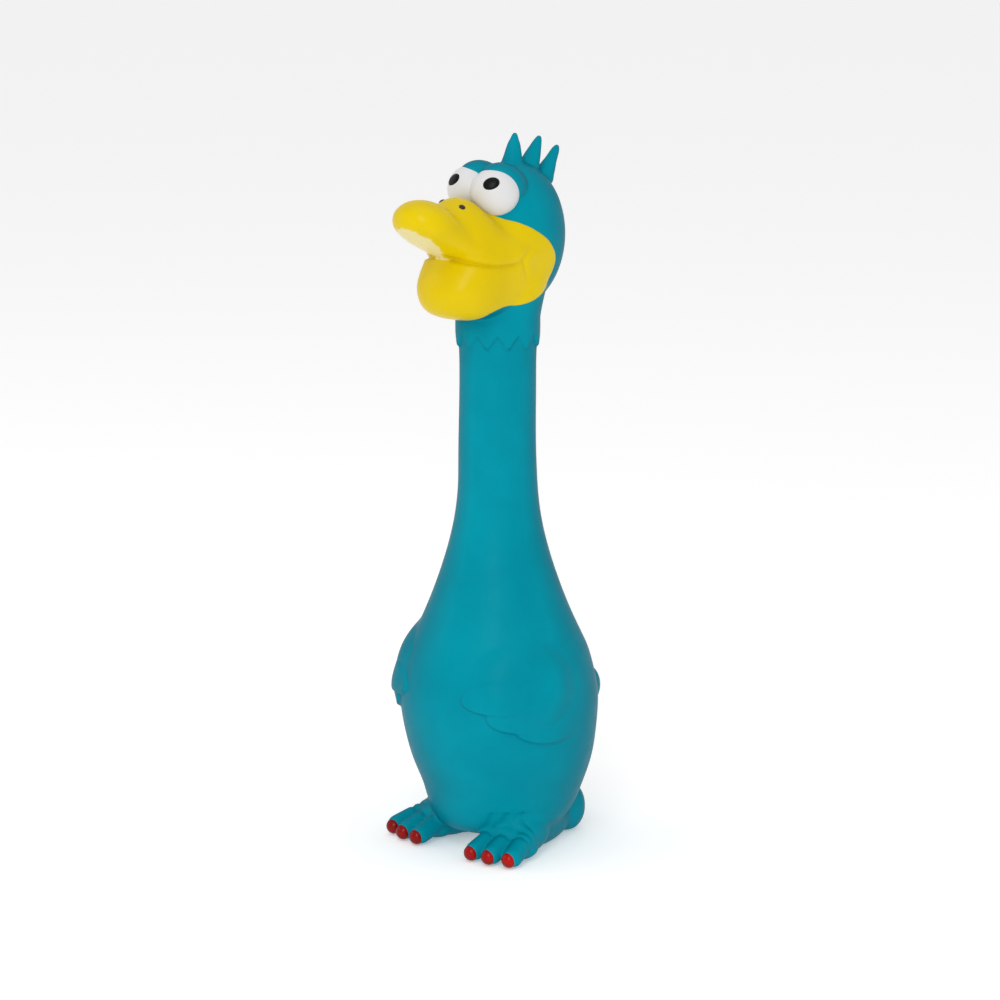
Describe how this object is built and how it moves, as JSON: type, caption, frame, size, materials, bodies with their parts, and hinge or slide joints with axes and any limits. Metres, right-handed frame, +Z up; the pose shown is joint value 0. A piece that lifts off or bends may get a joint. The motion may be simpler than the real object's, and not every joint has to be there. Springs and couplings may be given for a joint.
{
  "type": "squeaky latex rubber bird",
  "caption": "Comic long-necked latex rubber bird with an open bill, pop eyes, a spiked crest and webless toes; a hollow squeeze prop that squeaks and bends at the neck.",
  "frame": {"origin": "on the floor, under the centre of the bounding box, on the axis of the neck", "axes": "+Z up along the neck, -Y the way the bird looks, +X the bird's left"},
  "size_m": [0.084, 0.107, 0.28],
  "materials": {
    "teal_latex": "satin dipped latex, coloured through",
    "yellow_coat": "glossy hand-painted latex coat",
    "white_coat": "glossy hand-painted latex coat",
    "black_coat": "glossy hand-painted dot",
    "brown_coat": "hand-painted dot",
    "red_coat": "glossy hand-painted latex coat",
    "squeaker_plastic": "moulded polyethylene",
    "reed_film": "thin polyester film"
  },
  "bodies": {
    "torso": {"torso_skin": "teal_latex", "tail": "teal_latex", "foot_left": "teal_latex", "foot_right": "teal_latex", "toenail_left_inner": "red_coat", "toenail_left_middle": "red_coat", "toenail_left_outer": "red_coat", "toenail_right_inner": "red_coat", "toenail_right_middle": "red_coat", "toenail_right_outer": "red_coat", "wing_left": "teal_latex", "wing_right": "teal_latex", "squeaker_cap": "squeaker_plastic", "squeaker_cup": "squeaker_plastic", "squeaker_reed_clamp": "squeaker_plastic", "squeaker_reed_seat": "squeaker_plastic"},
    "belly": {"belly_press": "teal_latex"},
    "neck_1": {"neck_ring_1": "teal_latex"},
    "neck_2": {"neck_ring_2": "teal_latex"},
    "neck_3": {"neck_ring_3": "teal_latex"},
    "neck_4": {"neck_ring_4": "teal_latex"},
    "head": {"head_skin": "teal_latex", "bill_base": "yellow_coat", "eye_left": "white_coat", "eye_right": "white_coat", "nostril_left": "brown_coat", "nostril_right": "brown_coat", "pupil_left": "black_coat", "pupil_right": "black_coat"},
    "bill_upper": {"upper_bill": "yellow_coat"},
    "bill_lower": {"lower_bill": "yellow_coat"},
    "spike_front": {"crest_front": "teal_latex"},
    "spike_middle": {"crest_middle": "teal_latex"},
    "spike_rear": {"crest_rear": "teal_latex"},
    "reed": {"squeaker_reed": "reed_film"}
  },
  "joints": [
    {"name": "belly_squeeze", "type": "slide", "parent": "torso", "child": "belly", "axis": [0, 1, 0], "range_m": [0, 0.008], "stiffness_N_per_m": 600},
    {"name": "neck_bow_low", "type": "hinge", "parent": "torso", "child": "neck_1", "pos_m": [0, 0, 0.114], "axis": [1, 0, 0], "range_deg": [-14, 14], "stiffness_Nm_per_rad": 1.6},
    {"name": "neck_sway", "type": "hinge", "parent": "neck_1", "child": "neck_2", "pos_m": [0, 0, 0.135], "axis": [0, 1, 0], "range_deg": [-24, 24], "stiffness_Nm_per_rad": 1},
    {"name": "neck_bow_high", "type": "hinge", "parent": "neck_2", "child": "neck_3", "pos_m": [0, 0, 0.155], "axis": [1, 0, 0], "range_deg": [-27, 27], "stiffness_Nm_per_rad": 1},
    {"name": "neck_twist", "type": "hinge", "parent": "neck_3", "child": "neck_4", "pos_m": [0, 0, 0.174], "axis": [0, 0, 1], "range_deg": [-40, 40], "stiffness_Nm_per_rad": 0.6},
    {"name": "head_nod", "type": "hinge", "parent": "neck_4", "child": "head", "pos_m": [0, 0, 0.1952], "axis": [1, 0, 0], "range_deg": [-20, 20], "stiffness_Nm_per_rad": 0.9},
    {"name": "upper_bill_flex", "type": "hinge", "parent": "head", "child": "bill_upper", "pos_m": [0, -0.029, 0.246], "axis": [1, 0, 0], "range_deg": [-7, 8], "stiffness_Nm_per_rad": 0.12},
    {"name": "lower_bill_flex", "type": "hinge", "parent": "head", "child": "bill_lower", "pos_m": [0, -0.024, 0.2276], "axis": [1, 0, 0], "range_deg": [-10, 9], "stiffness_Nm_per_rad": 0.1},
    {"name": "crest_front_bend", "type": "hinge", "parent": "head", "child": "spike_front", "pos_m": [0, 0.008, 0.2702], "axis": [1, 0, 0], "range_deg": [-16, 16], "stiffness_Nm_per_rad": 0.004},
    {"name": "crest_middle_bend", "type": "hinge", "parent": "head", "child": "spike_middle", "pos_m": [0, 0.0176, 0.268], "axis": [1, 0, 0], "range_deg": [-16, 16], "stiffness_Nm_per_rad": 0.004},
    {"name": "crest_rear_bend", "type": "hinge", "parent": "head", "child": "spike_rear", "pos_m": [0, 0.0256, 0.2628], "axis": [1, 0, 0], "range_deg": [-16, 16], "stiffness_Nm_per_rad": 0.004},
    {"name": "reed_buzz", "type": "hinge", "parent": "torso", "child": "reed", "pos_m": [0, -0.004, 0.01322], "axis": [1, 0, 0], "range_deg": [-4, 0], "stiffness_Nm_per_rad": 0.0005}
  ]
}
